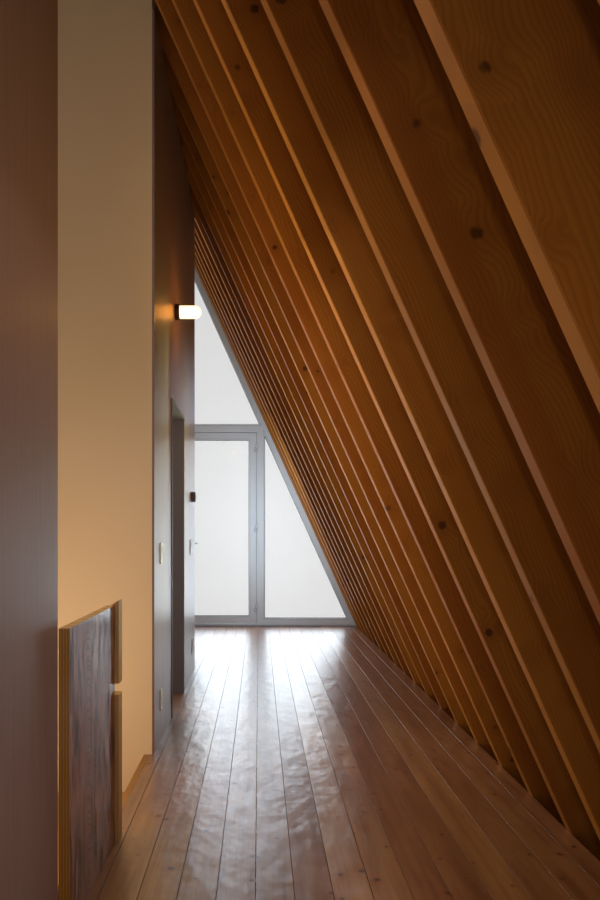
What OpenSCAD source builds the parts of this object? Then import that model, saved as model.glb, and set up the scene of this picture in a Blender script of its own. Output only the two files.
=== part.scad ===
// Side gallery of an a-frame cabin: one raking roof slope from its feet to the ridge beam,
// with the floor, the partition, the head of the stair and the glazed gable that it shelters.
// X runs from the ridge plane out to the eave, Y along the building to the glazed gable, Z up.
// All sizes are millimetres.

/* [Roof slope] */
// Slope of the roof above the horizontal, in degrees
pitch = 65.75; // [58:0.25:70]
// Floor width between the partition face and the inner edge of the rafters
gallery_w = 1776; // [1500:1:2200]
// Distance of the ridge plane behind the partition face
ridge_back = 1085; // [900:1:1400]
// Number of rafters along the gallery, the gable rafter apart
rafter_count = 21; // [20:1:21]
// Centre to centre spacing of the rafters
rafter_spacing = 406.4; // [390:0.1:430]
// Thickness of a rafter, along the building
rafter_t = 55; // [40:1:70]
// Depth of a rafter, square to the slope
rafter_d = 286; // [235:1:320]
// Size of the eased edges of a rafter
rafter_arris = 3; // [1:0.5:6]
// Thickness of the gable rafter
gable_rafter_t = 90; // [80:1:100]
// Thickness of the ridge beam
ridge_t = 60; // [45:1:90]
// Thickness of the boarding outside the rafters
deck_t = 18; // [12:1:28]
// Thickness of the metal roof sheet
sheet_t = 6; // [3:1:8]
// Height of a standing seam
seam_h = 25; // [15:1:38]
// Width of a standing seam
seam_w = 12; // [8:1:20]
// Height of the roof edge above the ground
eave_lift = 30; // [15:1:60]
// Overhang of the roof beyond the gable rafter
verge_out = 80; // [40:1:200]
// Overhang of the roof and the floor in front of the first rafter
near_out = 50; // [40:1:80]

/* [Floor] */
// Depth of the floor joists
joist_d = 286; // [260:1:320]
// Thickness of a joist
joist_t = 38; // [35:1:50]
// Thickness of the floor boards
board_t = 20; // [15:1:28]

/* [Walls] */
// Thickness of the framed core of a wall
core_t = 100; // [80:1:140]
// Thickness of the plywood linings on the partition
lining_t = 12; // [9:1:18]
// Number of the rafter on the near side of the white stair wall
stair_rafter = 8; // [7:1:9]
// Distance of the stair wall face beyond that rafter
stair_wall_in = 153; // [60:1:200]
// Length of the partition beyond the white stair wall face
partition_l = 2432; // [2300:1:2600]
// Distance from the partition end to the doorway
doorway_at = 758; // [650:1:900]
// Width of the doorway
doorway_w = 750; // [650:1:850]
// Height of the doorway
doorway_h = 2030; // [1950:1:2150]
// Width of the doorway casing
casing_w = 22; // [15:1:40]
// Stand of the casing in front of the lining
casing_out = 6; // [3:1:12]
// Distance of the near wall face behind the partition face
near_wall_back = 28; // [20:1:34]
// Length of the near wall from the first rafter
near_wall_l = 1298; // [1150:1:1350]

/* [Stair head] */
// Drop from the floor to the landing
landing_drop = 199; // [170:1:205]
// Thickness of the landing board
landing_t = 32; // [25:1:40]
// Length of the landing, along the building
landing_l = 1022; // [850:1:1080]
// Width of the bearers under the landing
bearer_w = 60; // [45:1:90]
// Width of the nosing strip along the edge of the stair
nosing_w = 27; // [20:1:40]
// Overhang of the nosing beyond the trimmer
nosing_out = 10; // [5:1:15]
// Height of the guard panel
guard_h = 900; // [850:1:1100]
// Thickness of the guard panel
guard_t = 32; // [25:1:40]
// Set-back of the guard panel from the edge of the floor boards
guard_in = 2; // [1:1:8]
// Width of the guard post, along the building
post_w = 67; // [50:1:90]
// Stand of the guard post in front of the panel
post_out = 15; // [8:1:25]
// Height of the lower length of the guard post
post_low_h = 560; // [500:1:600]
// Gap between the two lengths of the guard post
post_gap = 42; // [30:1:60]
// Height of the guard post above the panel
post_over = 20; // [10:1:40]
// Fall of the top of the guard post towards the stair
post_fall = 30; // [5:1:45]

/* [Glazed gable] */
// Gap between the last rafter and the inner face of the gable
gable_gap = 128; // [110:1:200]
// Depth of the gable frame bars, along the building
bar_d = 80; // [70:1:90]
// Face width of the post and the rails
bar_w = 56; // [45:1:70]
// Width of the raking rail, square to the slope
rake_w = 53; // [40:1:70]
// Height of the sill rail
sill_h = 85; // [70:1:110]
// Height of the top of the door opening
door_head = 2456; // [2250:1:2500]
// Width of the door leaf
leaf_w = 900; // [750:1:950]
// Thickness of the door leaf
leaf_t = 54; // [45:1:60]
// Width of the door's stiles and rails
stile_w = 75; // [60:1:100]
// Face width of the jamb round the door
jamb_w = 30; // [25:1:40]
// Depth of the door stop, along the building
stop_d = 20; // [12:1:20]
// Stand of the door stop in front of the jamb
stop_out = 14; // [10:1:20]
// Height of the threshold
threshold_h = 34; // [25:1:45]
// Running gap round the door leaf
leaf_gap = 5; // [5:0.5:8]
// Thickness of the insulating glass
glass_t = 24; // [18:1:30]
// Height of the lever handle above the floor
lever_z = 1040; // [950:1:1100]
// Length of the lever handle
lever_l = 130; // [110:1:150]
// Stand of the lever handle in front of the leaf
lever_out = 48; // [40:1:60]
// Radius of a hinge knuckle
knuckle_r = 8; // [6:0.5:10]
// Length of one half of a hinge knuckle
knuckle_l = 50; // [35:1:70]
// Width of a hinge plate
hinge_w = 30; // [20:1:34]

/* [Fittings] */
// Distance from the partition end to the wall lamp
lamp_at = 978; // [900:1:1100]
// Height of the wall lamp above the floor
lamp_z = 2640; // [2500:1:2800]
// Diameter of the opal globe
globe_dia = 85; // [70:1:100]
// Reach of the lamp from the wall
lamp_reach = 173; // [150:1:200]
// Diameter of the lamp base
lamp_base_dia = 105; // [95:1:125]
// Thickness of the lamp base
lamp_base_t = 30; // [20:1:40]
// Width of a switch or outlet plate
plate_w = 70; // [65:1:80]
// Height of a switch or outlet plate
plate_h = 117; // [110:1:125]
// Thickness of a switch or outlet plate
plate_t = 7; // [5:1:10]
// Height of the switches above the floor
switch_z = 1001; // [900:1:1150]
// Height of the outlets above the floor
outlet_z = 175; // [120:1:300]
// Distance from the partition end to the near switch and outlet
near_plate_at = 252; // [100:1:600]
// Distance from the partition end to the far switch
far_switch_at = 2028; // [1600:1:2050]
// Distance from the partition end to the far outlet and the control box
far_plate_at = 2178; // [2140:1:2240]
// Height of the control box above the floor
box_z = 1430; // [1250:1:1600]
// Width and height of the control box
box_w = 80; // [60:1:110]
// Thickness of the control box
box_t = 30; // [15:1:45]

/* [Hidden] */
$fn = 48;
// Small joint gap between pieces that lie in one node
fit = 0.3;
run = tan(pitch);
floor_z = joist_d + board_t;
foot_x = ridge_back + gallery_w;
near_y = -near_out;
gable_y = rafter_y(rafter_count - 1) + rafter_t + gable_gap;
far_y = gable_y + gable_rafter_t;
roof_far_y = far_y + verge_out;
edge_x = ridge_back - near_wall_back;
nose_x = edge_x - nosing_w;
trimmer_x = nose_x + nosing_out;
core_x = ridge_back - lining_t;
wall_y = rafter_y(stair_rafter - 1) + rafter_t + stair_wall_in;
wall_back_y = wall_y + core_t;
partition_end_y = wall_y + partition_l;
door_y0 = wall_y + doorway_at;
door_y1 = door_y0 + doorway_w;
spine_r = ridge_t / 2;
roof_out = rafter_d + deck_t;
sheet_out = roof_out + sheet_t;
seam_out = sheet_out + seam_h;
mid_x = (inner_x(eave_lift) + across(seam_out) - spine_r) / 2;
mid_y = (near_y + roof_far_y) / 2;
head_z = floor_z + door_head;
sill_z = floor_z + sill_h;
rail_z = head_z + bar_w;
rake = across(rake_w);
post_x = floor(inner_x(head_z) - rake - bar_w);
leaf_x1 = post_x - jamb_w - leaf_gap;
leaf_x0 = leaf_x1 - leaf_w;
jamb_x0 = leaf_x0 - leaf_gap - jamb_w;
leaf_z0 = floor_z + threshold_h + leaf_gap;
leaf_z1 = head_z - jamb_w - leaf_gap;
hinge_x = leaf_x1 + leaf_gap / 2;
hinge_y = gable_y - knuckle_r;
glass_y = gable_y + (bar_d - glass_t) / 2;
lever_x = leaf_x0 + stile_w / 2;
hinge_plate_t = 3;
hinge_share = [0.08, 0.5, 0.92];
landing_y = wall_y - landing_l;
post_clear = 3;
post_y = landing_y - post_w - post_clear;
lamp_chamfer = 6;

rafter_nodes = [for (i = [1 : rafter_count]) str("rafter_", i < 10 ? "0" : "", i)];

// Place of the rafters' inner edge at a height above the ground
function inner_x(z) = foot_x - (z - floor_z) / run;
// Height of the rafters' inner edge at a distance from the ridge plane
function inner_z(x) = floor_z + (foot_x - x) * run;
// Horizontal breadth of a layer that is t thick, square to the slope
function across(t) = t / sin(pitch);
// Upright breadth of a layer that is t thick, square to the slope
function upright(t) = t / cos(pitch);
function rafter_y(i) = i * rafter_spacing;

// Moves the building so that its origin is at the middle of its base
module place() {
    translate([-mid_x, -mid_y, 0]) children();
}

// A profile drawn in X and Z, drawn out along Y
module along_y(y, length, points) {
    translate([0, y + length, 0])
        rotate([90, 0, 0])
            linear_extrude(length)
                polygon(points);
}

// A layer of the roof between two depths square to the slope
module slope_layer(from, to, z, x, y, length) {
    along_y(y, length, [
        [inner_x(z) + across(from), z],
        [inner_x(z) + across(to), z],
        [x, inner_z(x) + upright(to)],
        [x, inner_z(x) + upright(from)]
    ]);
}

// The same layer with both ends level, from height z0 up to z1
module level_layer(from, to, z0, z1, y, length) {
    along_y(y, length, [
        [inner_x(z0) + across(from), z0],
        [inner_x(z0) + across(to), z0],
        [inner_x(z1) + across(to), z1],
        [inner_x(z1) + across(from), z1]
    ]);
}

module bar(x0, x1, y0, y1, z0, z1) {
    translate([x0, y0, z0]) cube([x1 - x0, y1 - y0, z1 - z0]);
}

// The section of a rafter with its four edges eased, depth along X and thickness along Y
module rafter_section(d, t, e) {
    polygon([[e, 0], [d - e, 0], [d, e], [d, t - e], [d - e, t], [e, t], [0, t - e], [0, e]]);
}

// A stick laid along the slope, cut level at the ground and plumb at the ridge beam
module raking_stick(y, t) {
    below = rafter_d / run;
    length = below + (inner_x(0) + rafter_d) / cos(pitch);
    intersection() {
        translate([inner_x(0), y, 0])
            rotate([0, pitch - 90, 0])
                translate([0, 0, -below])
                    linear_extrude(length)
                        rafter_section(rafter_d, t, rafter_arris);
        bar(spine_r, inner_x(0) + 2 * rafter_d, y - t, y + 2 * t, 0, inner_z(0) + upright(rafter_d));
    }
}

module rafter(i) {
    color("#8a5433") place() raking_stick(rafter_y(i), rafter_t);
}

module gable_rafter() {
    color("#8a5433") place() raking_stick(gable_y, gable_rafter_t);
}

// The ridge beam is bevelled on top for both slopes
module ridge_beam() {
    top = inner_z(spine_r) + upright(rafter_d);
    color("#8a5433") place()
        along_y(near_y, far_y - near_y, [
            [-spine_r, inner_z(spine_r)],
            [spine_r, inner_z(spine_r)],
            [spine_r, top],
            [0, top + spine_r * run],
            [-spine_r, top]
        ]);
}

module roof_deck() {
    color("#6b4126") place()
        slope_layer(rafter_d + fit, roof_out, eave_lift, 0, near_y, roof_far_y - near_y);
}

// Sheet with standing seams that end level with its top edge
module roof_sheet() {
    seams = floor((roof_far_y - near_y - seam_w) / rafter_spacing);
    seam_0 = (near_y + roof_far_y - seams * rafter_spacing - seam_w) / 2;
    top = inner_z(0) + upright(sheet_out);
    color("#5d6064") place() {
        slope_layer(roof_out + fit, sheet_out, eave_lift, 0, near_y, roof_far_y - near_y);
        for (i = [0 : seams])
            level_layer(sheet_out + fit, seam_out, eave_lift, top, seam_0 + i * rafter_spacing, seam_w);
    }
}

// One joist, from x out to the roof boarding, or to the rafters where flush is true
module joist(x, y, flush = false) {
    out = flush ? 0 : across(rafter_d);
    along_y(y, joist_t, [
        [x, 0],
        [inner_x(0) + out - fit, 0],
        [inner_x(joist_d) + out - fit, joist_d],
        [x, joist_d]
    ]);
}

module floor_frame() {
    color("#9a7148") place() {
        bar(-spine_r, spine_r, near_y, far_y, 0, joist_d);
        bar(spine_r + fit, core_x, wall_back_y, wall_back_y + joist_t, 0, joist_d);
        bar(trimmer_x, trimmer_x + joist_t, near_wall_l + fit, wall_back_y - fit, 0, joist_d);
        bar(spine_r + fit, edge_x - core_t - fit, near_y, near_y + joist_t, 0, joist_d);
        joist(edge_x, near_y);
        for (i = [0 : rafter_count - 1]) {
            y = rafter_y(i) + rafter_t;
            by_wall = y + joist_t < near_wall_l;
            by_stair = y < wall_back_y;
            joist(by_wall ? edge_x : by_stair ? trimmer_x + joist_t + fit : spine_r + fit, y);
        }
        joist(spine_r + fit, far_y - joist_t, true);
    }
}

// Boards of the gallery and the room, with the short boards between the rafters
module floor_deck() {
    under_z = joist_d;
    color("#b0703f") place() {
        along_y(near_y, far_y - near_y, [
            [edge_x, under_z],
            [inner_x(under_z) - fit, under_z],
            [inner_x(floor_z) - fit, floor_z],
            [edge_x, floor_z]
        ]);
        bar(-spine_r, edge_x - fit, wall_back_y, far_y, under_z, floor_z);
        for (i = [-1 : rafter_count - 1]) {
            y0 = i < 0 ? near_y : rafter_y(i) + rafter_t + fit;
            y1 = i == rafter_count - 1 ? gable_y : rafter_y(i + 1);
            along_y(y0, y1 - fit - y0, [
                [inner_x(under_z), under_z],
                [inner_x(under_z) + across(rafter_d) - fit, under_z],
                [inner_x(floor_z) + across(rafter_d) - fit, floor_z],
                [inner_x(floor_z), floor_z]
            ]);
        }
    }
}

module stair_nosing() {
    color("#b0703f") place()
        bar(nose_x, edge_x - fit, near_wall_l + fit, wall_y - fit, joist_d, floor_z);
}

module stair_landing() {
    top = floor_z - landing_drop;
    under = top - landing_t;
    color("#c08a4c") place() {
        bar(spine_r, trimmer_x, landing_y, wall_y, under, top);
        bar(spine_r, trimmer_x, landing_y + bearer_w, landing_y + 2 * bearer_w, 0, under - fit);
        bar(spine_r, trimmer_x, wall_y - bearer_w, wall_y, 0, under - fit);
    }
}

// A wall panel along the building, cut just under the slope at its head
module panel(x0, x1, y0, y1, z0) {
    along_y(y0, y1 - y0, [
        [x0, z0],
        [x1, z0],
        [x1, inner_z(x1 + fit)],
        [x0, inner_z(x0 + fit)]
    ]);
}

// A length of the partition: a core lined on both sides, the gallery lining starting at front_y
module lined_wall(front_y, y0, y1, z0) {
    back_x = core_x - core_t;
    color("#4a3a36") place() {
        panel(back_x, back_x + lining_t - fit, y0, y1, z0);
        panel(back_x + lining_t, core_x - fit, y0, y1, z0);
        panel(core_x, ridge_back, front_y, y1, z0);
    }
}

module partition_near() {
    lined_wall(wall_y, wall_back_y, door_y0, floor_z);
}

module partition_far() {
    lined_wall(door_y1, door_y1, partition_end_y, floor_z);
}

module partition_head() {
    lined_wall(door_y0, door_y0, door_y1, floor_z + doorway_h);
}

// Thin casing set in the doorway, proud of the lining
module doorway_casing() {
    x0 = core_x - core_t - casing_out;
    x1 = ridge_back + casing_out;
    z1 = floor_z + doorway_h;
    color("#7d6250") place() {
        bar(x0, x1, door_y0, door_y0 + casing_w, floor_z, z1 - casing_w - fit);
        bar(x0, x1, door_y1 - casing_w, door_y1, floor_z, z1 - casing_w - fit);
        bar(x0, x1, door_y0, door_y1, z1 - casing_w, z1);
    }
}

// The white wall reaches from the ground up between two rafters to the roof boarding
module stair_end_wall() {
    color("#d9c8b4") place()
        along_y(wall_y, core_t - fit, [
            [spine_r, 0],
            [trimmer_x - fit, 0],
            [trimmer_x - fit, floor_z],
            [core_x - fit, floor_z],
            [core_x - fit, inner_z(core_x) + upright(rafter_d)],
            [spine_r, inner_z(spine_r) + upright(rafter_d)]
        ]);
}

module near_wall() {
    color("#4a3a36") place()
        panel(edge_x - core_t, edge_x - fit, near_y, near_wall_l, 0);
}

module guard_panel() {
    color("#5a4236") place()
        bar(edge_x + guard_in, edge_x + guard_in + guard_t, near_wall_l, post_y, floor_z, floor_z + guard_h);
}

// Two lengths of post on the end of the guard, with a gap between them and a raked top
module guard_post() {
    x0 = edge_x + guard_in;
    x1 = x0 + guard_t + post_out;
    z_top = floor_z + guard_h + post_over;
    color("#a4713c") place() {
        bar(x0, x1, post_y, post_y + post_w, floor_z, floor_z + post_low_h);
        along_y(post_y, post_w, [
            [x0, floor_z + post_low_h + post_gap],
            [x1, floor_z + post_low_h + post_gap],
            [x1, z_top],
            [x0, z_top - post_fall]
        ]);
    }
}

// Sill and transom between the ridge post and the raking rail
module gable_rails() {
    color("#8d8a88") place() {
        along_y(gable_y, bar_d, [
            [post_x + bar_w, floor_z],
            [inner_x(floor_z) - rake - fit, floor_z],
            [inner_x(sill_z) - rake - fit, sill_z],
            [post_x + bar_w, sill_z]
        ]);
        bar(spine_r, jamb_x0 - bar_w, gable_y, gable_y + bar_d, floor_z, sill_z);
        along_y(gable_y, bar_d, [
            [spine_r, head_z],
            [inner_x(head_z) - rake - fit, head_z],
            [inner_x(rail_z) - rake - fit, rail_z],
            [spine_r, rail_z]
        ]);
    }
}

// Post beside the hinges, post beside the lock, and the ridge post
module gable_posts() {
    color("#8d8a88") place() {
        bar(post_x, post_x + bar_w, gable_y, gable_y + bar_d, floor_z, head_z);
        bar(jamb_x0 - bar_w, jamb_x0, gable_y, gable_y + bar_d, floor_z, head_z);
        bar(-spine_r, spine_r, gable_y, gable_y + bar_d, floor_z, inner_z(spine_r) - fit);
    }
}

module gable_rake_rail() {
    color("#8d8a88") place()
        along_y(gable_y, bar_d, [
            [inner_x(floor_z) - rake, floor_z],
            [inner_x(floor_z) - fit, floor_z],
            [spine_r, inner_z(spine_r + fit)],
            [spine_r, inner_z(spine_r + rake)]
        ]);
}

// Fixed panes beside the door and over the transom
module gable_panes() {
    tip_x = post_x + bar_w;
    color("#c9d6dc", 0.35) place() {
        along_y(glass_y, glass_t, [
            [tip_x, sill_z],
            [inner_x(sill_z) - rake - fit, sill_z],
            [tip_x, min(head_z, inner_z(tip_x + rake + fit))]
        ]);
        bar(spine_r, jamb_x0 - bar_w, glass_y, glass_y + glass_t, sill_z, head_z);
        along_y(glass_y, glass_t, [
            [spine_r, rail_z],
            [inner_x(rail_z) - rake - fit, rail_z],
            [spine_r, inner_z(spine_r + rake + fit)]
        ]);
    }
}

// A plate laid against the inner face, with a knuckle on the hinge axis
module hinge_half(x0, x1, z, seat = 0) {
    bar(x0, x1, gable_y - hinge_plate_t, gable_y - seat, z, z + knuckle_l);
    translate([hinge_x, hinge_y, z]) cylinder(h = knuckle_l, r = knuckle_r);
}

function hinge_z(i) = leaf_z0 + hinge_share[i] * (leaf_z1 - leaf_z0) - knuckle_l;

// Jambs, head, threshold and stops round the door, with the fixed halves of the hinges
module door_jamb() {
    y1 = gable_y + bar_d;
    z0 = floor_z + threshold_h + fit;
    z1 = head_z - jamb_w - fit;
    lock_x = jamb_x0 + jamb_w;
    hang_x = post_x - jamb_w;
    color("#8d8a88") place() {
        bar(hang_x, post_x, gable_y, y1, z0, z1);
        bar(jamb_x0, lock_x, gable_y, y1, z0, z1);
        bar(jamb_x0, post_x, gable_y, y1, head_z - jamb_w, head_z);
        bar(jamb_x0, post_x, gable_y, y1, floor_z, floor_z + threshold_h);
        bar(lock_x + fit, lock_x + stop_out, y1 - stop_d, y1, z0, z1);
        bar(hang_x - stop_out, hang_x - fit, y1 - stop_d, y1, z0, z1);
        bar(lock_x + stop_out + fit, hang_x - stop_out - fit, y1 - stop_d, y1, z1 - stop_out, z1);
        for (i = [0 : 2])
            hinge_half(hinge_x, hinge_x + hinge_w, hinge_z(i) + knuckle_l + fit, fit);
    }
}

module door_leaf() {
    y1 = gable_y + leaf_t;
    color("#8d8a88") place() {
        bar(leaf_x0, leaf_x0 + stile_w, gable_y, y1, leaf_z0, leaf_z1);
        bar(leaf_x1 - stile_w, leaf_x1, gable_y, y1, leaf_z0, leaf_z1);
        bar(leaf_x0 + stile_w + fit, leaf_x1 - stile_w - fit, gable_y, y1, leaf_z0, leaf_z0 + stile_w);
        bar(leaf_x0 + stile_w + fit, leaf_x1 - stile_w - fit, gable_y, y1, leaf_z1 - stile_w, leaf_z1);
    }
}

module door_pane() {
    y0 = gable_y + (leaf_t - glass_t) / 2;
    color("#c9d6dc", 0.35) place()
        bar(leaf_x0 + stile_w + fit, leaf_x1 - stile_w - fit, y0, y0 + glass_t, leaf_z0 + stile_w + fit, leaf_z1 - stile_w - fit);
}

// A round lever on its rose, standing along Z with the grip along X
module lever() {
    rose_r = 26;
    rose_t = 8;
    rose_chamfer = 2;
    neck_r = 9;
    cylinder(h = rose_t - rose_chamfer, r = rose_r);
    translate([0, 0, rose_t - rose_chamfer])
        cylinder(h = rose_chamfer, r1 = rose_r, r2 = rose_r - rose_chamfer);
    cylinder(h = lever_out, r = neck_r);
    translate([0, 0, lever_out - neck_r]) rotate([0, 90, 0]) cylinder(h = lever_l, r = neck_r);
}

// A lever on each side of the leaf, and the moving halves of the hinges
module door_hardware() {
    color("#b9bcc0") place() {
        translate([lever_x, gable_y, floor_z + lever_z]) rotate([90, 0, 0]) lever();
        translate([lever_x, gable_y + leaf_t, floor_z + lever_z]) rotate([-90, 0, 0]) lever();
        for (i = [0 : 2])
            hinge_half(hinge_x - hinge_w, hinge_x, hinge_z(i));
    }
}

// Round base with a chamfered rim
module wall_lamp_base() {
    r = lamp_base_dia / 2;
    rim = lamp_base_t - lamp_chamfer;
    color("#3a2f2b") place()
        translate([ridge_back, wall_y + lamp_at, floor_z + lamp_z]) rotate([0, 90, 0]) {
            cylinder(h = rim, r = r);
            translate([0, 0, rim]) cylinder(h = lamp_chamfer, r1 = r, r2 = r - lamp_chamfer);
        }
}

// Opal cylinder with a domed end, lying along the outward axis
module wall_lamp_globe() {
    r = globe_dia / 2;
    straight = lamp_reach - lamp_base_t - r;
    color("#fff1cf") place()
        translate([ridge_back + lamp_base_t, wall_y + lamp_at, floor_z + lamp_z]) rotate([0, 90, 0]) {
            cylinder(h = straight, r = r);
            translate([0, 0, straight]) difference() {
                sphere(r = r);
                translate([-2 * r, -2 * r, -4 * r]) cube(4 * r);
            }
        }
}

// A plate on the lining, its middle y beyond the partition end and its foot z above the floor
module plate(y, z, w, h, t) {
    bar(ridge_back, ridge_back + t, wall_y + y - w / 2, wall_y + y + w / 2, floor_z + z, floor_z + z + h);
}

module wall_plates() {
    color("#cfc9c2") place() {
        plate(near_plate_at, switch_z, plate_w, plate_h, plate_t);
        plate(near_plate_at, outlet_z, plate_w, plate_h, plate_t);
        plate(far_switch_at, switch_z, plate_w, plate_h, plate_t);
        plate(far_plate_at, outlet_z, plate_w, plate_h, plate_t);
        plate(far_plate_at, box_z, box_w, box_w, box_t);
    }
}

for (i = [0 : rafter_count - 1])
    rafter(i);
gable_rafter();
ridge_beam();
roof_deck();
roof_sheet();
floor_frame();
floor_deck();
stair_landing();
stair_nosing();
partition_near();
partition_far();
partition_head();
doorway_casing();
stair_end_wall();
near_wall();
guard_panel();
guard_post();
gable_rails();
gable_posts();
gable_rake_rail();
gable_panes();
door_jamb();
door_leaf();
door_pane();
door_hardware();
wall_lamp_base();
wall_lamp_globe();
wall_plates();
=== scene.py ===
"""Dresses the side gallery of the a-frame cabin: timber, boards, plaster, glass, fittings and light."""

import math
import random

import bmesh
import bpy
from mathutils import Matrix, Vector

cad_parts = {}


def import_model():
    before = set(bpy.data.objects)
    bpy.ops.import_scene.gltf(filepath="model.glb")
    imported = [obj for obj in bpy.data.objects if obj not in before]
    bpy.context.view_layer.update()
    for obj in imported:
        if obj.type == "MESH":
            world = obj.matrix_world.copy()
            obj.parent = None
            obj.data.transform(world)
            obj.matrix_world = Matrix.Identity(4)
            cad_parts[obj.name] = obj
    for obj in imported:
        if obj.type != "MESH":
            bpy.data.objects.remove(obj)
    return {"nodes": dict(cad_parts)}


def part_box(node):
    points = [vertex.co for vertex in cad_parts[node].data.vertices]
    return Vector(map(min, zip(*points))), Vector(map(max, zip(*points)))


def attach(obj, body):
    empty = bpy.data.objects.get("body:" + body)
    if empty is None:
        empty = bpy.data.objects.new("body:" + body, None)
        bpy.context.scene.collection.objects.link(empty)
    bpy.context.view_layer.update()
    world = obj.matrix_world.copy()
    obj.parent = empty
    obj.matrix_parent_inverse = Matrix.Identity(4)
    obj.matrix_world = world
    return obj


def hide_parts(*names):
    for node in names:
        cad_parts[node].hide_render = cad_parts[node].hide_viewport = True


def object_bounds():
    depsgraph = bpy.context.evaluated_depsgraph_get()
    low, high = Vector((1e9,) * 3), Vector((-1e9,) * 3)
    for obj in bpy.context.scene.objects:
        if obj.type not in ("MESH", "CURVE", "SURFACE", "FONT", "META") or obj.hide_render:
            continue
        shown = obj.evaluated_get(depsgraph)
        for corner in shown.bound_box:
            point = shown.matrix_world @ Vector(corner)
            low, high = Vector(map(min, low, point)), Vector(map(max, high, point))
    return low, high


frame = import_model()
NODES = frame["nodes"]
cad_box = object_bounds()
chance = random.Random(7)

# Camera, measured against the near rafter, the partition and the floor
EYE_FROM_PARTITION = 0.555
EYE_BEFORE_RAFTER = 0.819
EYE_HEIGHT = 1.18
LENS = 29.2
SHIFT = (0.0456, 0.0911)

# Boards, with the longest and the shortest length of each kind
BOARD_W = 0.1272
FIRST_JOINT = 0.162
BOARD_GAP = 0.0022
BOARD_ARRIS = 0.0003
BOARD_LENGTHS = (9.0, 4.0)
NARROWEST_STRIP = 0.006
ROOF_BOARD_W = 0.135
ROOF_BOARD_GAP = 0.003
ROOF_BOARD_LENGTHS = (4.2, 2.0)

# Share of the guard's width at which its grain arches
HEART = 0.39

# Wall plates: half widths and half heights about their own middle
BOX_FIELD = (0.028, 0.014)
BOX_WINDOW = (0.0275, 0.0135)
BUTTON_FOOT = (0.006, 0.003)
BUTTON_TOP = (0.005, 0.002)
OPENING = (0.0168, 0.0335)
ROCKER_FOOT = (0.0163, 0.033)
ROCKER_TOP = (0.0155, 0.0322)
SOCKET_FOOT = (0.0155, 0.0135)
SOCKET_TOP = (0.0149, 0.0129)

# Colours of the lamps that light the gallery
DAYLIGHT = (0.78, 0.9, 1.0)
WARM = (1.0, 0.73, 0.47)
ORANGE = (1.0, 0.62, 0.3)
GOLDEN = (1.0, 0.76, 0.37)

# Places taken from the frame
RAFTERS = sorted(n for n in NODES if n.startswith("rafter_"))
RAFTER_LO, RAFTER_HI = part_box(RAFTERS[0])
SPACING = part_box(RAFTERS[1])[0].y - RAFTER_LO.y
PITCH = math.atan2(RAFTER_HI.z - RAFTER_LO.z, RAFTER_HI.x - RAFTER_LO.x)
RISE = math.tan(PITCH)
FOOT = [v.co.x for v in NODES[RAFTERS[0]].data.vertices if v.co.z < RAFTER_LO.z + 1e-5]
INNER_FOOT, OUTER_FOOT = min(FOOT), max(FOOT)
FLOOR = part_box("floor_deck")[1].z
FLOOR_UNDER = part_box("floor_deck")[0].z
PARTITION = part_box("partition_near")[1].x
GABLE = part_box("gable_posts")[0].y
NEAR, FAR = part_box("ridge_beam")[0].y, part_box("ridge_beam")[1].y


def slope_x(z):
    """Place of the rafters' inner edge at a height."""
    return INNER_FOOT - z / RISE


MID = (PARTITION + slope_x(FLOOR)) / 2


class Graph:
    """Short forms for building a material's nodes."""

    def __init__(self, tree):
        self.tree = tree

    def feed(self, socket, value):
        if isinstance(value, bpy.types.NodeSocket):
            self.tree.links.new(value, socket)
        else:
            socket.default_value = value

    def add(self, kind, inputs=None, **settings):
        node = self.tree.nodes.new("ShaderNode" + kind)
        for name, value in settings.items():
            setattr(node, name, value)
        for socket, value in (inputs or {}).items():
            self.feed(node.inputs[socket], value)
        return node

    def math(self, operation, a, b=0.0, c=0.0):
        return self.add("Math", {0: a, 1: b, 2: c}, operation=operation).outputs[0]

    def vector(self, operation, a, b=(0.0, 0.0, 0.0)):
        node = self.add("VectorMath", {0: a, 1: b}, operation=operation)
        return node.outputs["Value" if operation in ("LENGTH", "DISTANCE", "DOT_PRODUCT") else "Vector"]

    def split(self, vector):
        return self.add("SeparateXYZ", {0: vector}).outputs

    def join(self, x, y, z):
        return self.add("CombineXYZ", {0: x, 1: y, 2: z}).outputs[0]

    def mix(self, factor, a, b, blend="MIX"):
        node = self.add("Mix", data_type="RGBA", blend_type=blend)
        self.feed(node.inputs[0], factor)
        self.feed(node.inputs[6], a)
        self.feed(node.inputs[7], b)
        return node.outputs[2]

    def fade(self, value, low, high, to_low=0.0, to_high=1.0):
        inputs = {0: value, 1: low, 2: high, 3: to_low, 4: to_high}
        return self.add("MapRange", inputs, interpolation_type="SMOOTHSTEP").outputs[0]

    def noise(self, vector, scale, detail=2.0, roughness=0.5, output="Fac"):
        inputs = {"Vector": vector, "Scale": scale, "Detail": detail, "Roughness": roughness}
        return self.add("TexNoise", inputs).outputs[output]

    def streaks(self, vector, scales, detail=2.0, roughness=0.5, output="Fac"):
        """Noise with a scale of its own along each axis."""
        return self.noise(self.vector("MULTIPLY", vector, scales), 1.0, detail, roughness, output)

    def total(self, *parts):
        """The sum of values, each times its weight."""
        result = 0.0
        for value, weight in parts:
            result = self.math("MULTIPLY_ADD", value, weight, result)
        return result

    def swing(self, vector, sizes):
        """A random vector from 0 to 1 made to swing about zero, by a size along each axis."""
        return self.vector("MULTIPLY", self.vector("SUBTRACT", vector, (0.5, 0.5, 0.5)), sizes)

    def bump(self, height, distance):
        return self.add("Bump", {"Height": height, "Distance": distance, "Strength": 1.0}).outputs[0]

    def place(self):
        return self.add("TexCoord").outputs["Object"]

    def normal(self):
        return self.add("NewGeometry").outputs["Normal"]

    def drawn(self):
        """The random vector that each board carries."""
        return self.add("Attribute", attribute_name="draw", attribute_type="GEOMETRY").outputs["Vector"]


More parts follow.
